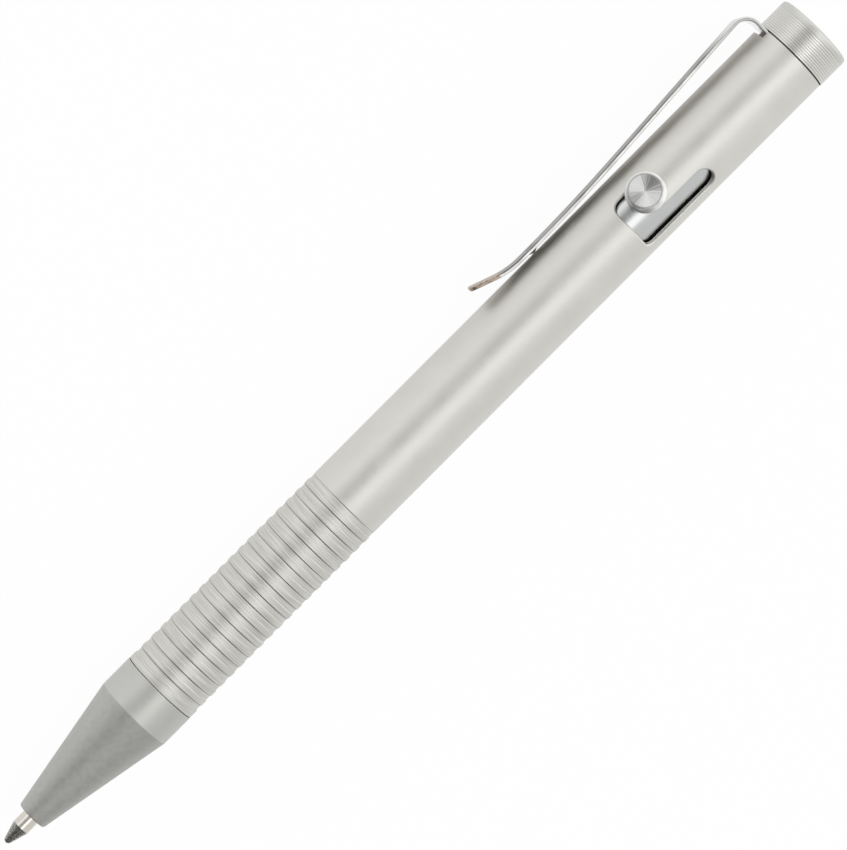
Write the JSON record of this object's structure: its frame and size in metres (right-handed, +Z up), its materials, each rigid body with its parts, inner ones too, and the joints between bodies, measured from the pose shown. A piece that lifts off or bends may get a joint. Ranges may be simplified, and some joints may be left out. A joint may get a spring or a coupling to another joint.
{
  "type": "bolt action pen",
  "caption": "Metal pen with a bolt that slides and turns in an L shaped slot, a turned grip, a cone nose, a ringed end cap and a spring pocket clip.",
  "frame": {"origin": "centre of the end cap's flat end face, on the pen's axis", "axes": "+X along the pen's axis from the cap toward the point, +Z up as the pen lies on its nose band and its clip's edge, +Y away from the clip"},
  "size_m": [0.1457, 0.0143, 0.0132],
  "materials": {
    "blasted_steel": "bead blasted steel, satin",
    "polished_steel": "turned and polished steel",
    "spring_steel": "rolled spring steel, satin",
    "nickel_silver": "turned nickel silver",
    "ball_carbide": "polished ball",
    "holder_plastic": "moulded plastic",
    "guide_plastic": "plain slippery plastic",
    "clear_plastic": "clear plastic tube",
    "grease": "clear grease",
    "ink": "black gel ink",
    "oring_rubber": "moulded rubber"
  },
  "bodies": {
    "pen": {"barrel": "blasted_steel", "nose_cone": "blasted_steel", "nose_oring": "oring_rubber", "end_cap": "blasted_steel", "return_spring": "spring_steel"},
    "clip": {"pocket_clip": "spring_steel"},
    "refill": {"refill_plug": "holder_plastic", "refill_tube": "clear_plastic", "refill_follower": "grease", "refill_ink": "ink", "refill_tip_holder": "holder_plastic", "refill_point": "nickel_silver", "refill_ball": "ball_carbide"},
    "bolt": {"bolt_slider": "polished_steel", "slider_ring_front": "guide_plastic", "slider_ring_rear": "guide_plastic", "bolt_knob": "polished_steel"}
  },
  "joints": [
    {"name": "bolt_slide", "type": "slide", "parent": "pen", "child": "refill", "axis": [1, 0, 0], "range_m": [0, 0.00325], "stiffness_N_per_m": 200, "springref_m": -0.009, "deforming": ["return_spring"]},
    {"name": "bolt_turn", "type": "hinge", "parent": "refill", "child": "bolt", "pos_m": [0.03003, 0, 0], "axis": [-1, 0, 0], "range_deg": [0, 47.4]},
    {"name": "clip_flex", "type": "hinge", "parent": "pen", "child": "clip", "pos_m": [0.00455, -0.00516, -0.00166], "axis": [0, 0.3057, -0.9521], "range_deg": [0, 3], "stiffness_Nm_per_rad": 4.5, "springref_deg": -1.72}
  ],
  "couplings": [
    {"joint": "bolt_turn", "follows": "bolt_slide", "rad_per_m": 254.5}
  ]
}
